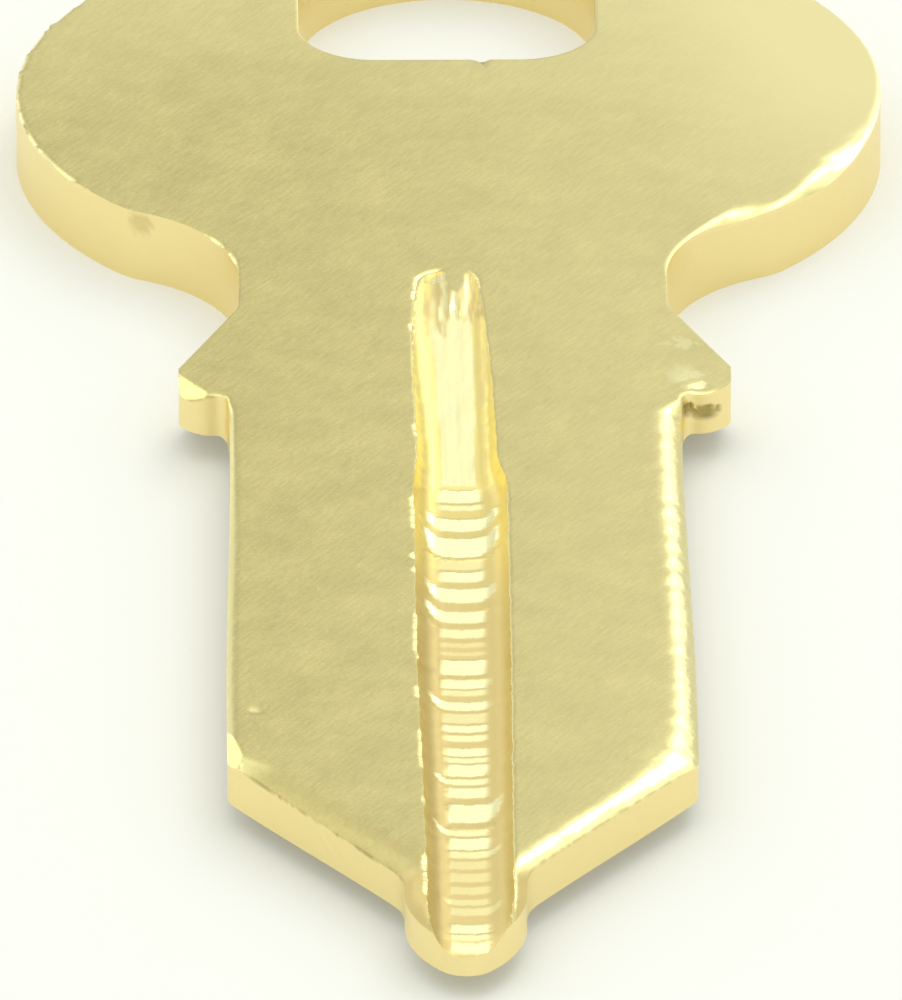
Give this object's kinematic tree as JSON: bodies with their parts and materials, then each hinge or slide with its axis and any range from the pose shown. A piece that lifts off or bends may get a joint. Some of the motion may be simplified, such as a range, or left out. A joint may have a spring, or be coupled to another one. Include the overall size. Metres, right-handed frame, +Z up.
{
  "type": "key blank",
  "caption": "Flat brass key blank: rounded bow with a ring hole, waisted neck, shoulder stops and a pointed blade with one milled centre groove.",
  "frame": {"origin": "on the underside, on the key's centreline, in the front plane of the shoulder stops, which is halfway between the tip and the far end of the bow", "axes": "+Y from the blade to the bow, so the tip points along -Y; +X to the right as seen from above with the tip towards the viewer; +Z up, out of the grooved face; the key lies flat on its bow"},
  "size_m": [0.022, 0.06, 0.0019],
  "materials": {
    "key_blank": "worn satin, bright on rolled edges and in the milled groove"
  },
  "bodies": {
    "root": {"key_blank": "key_blank"}
  },
  "joints": []
}
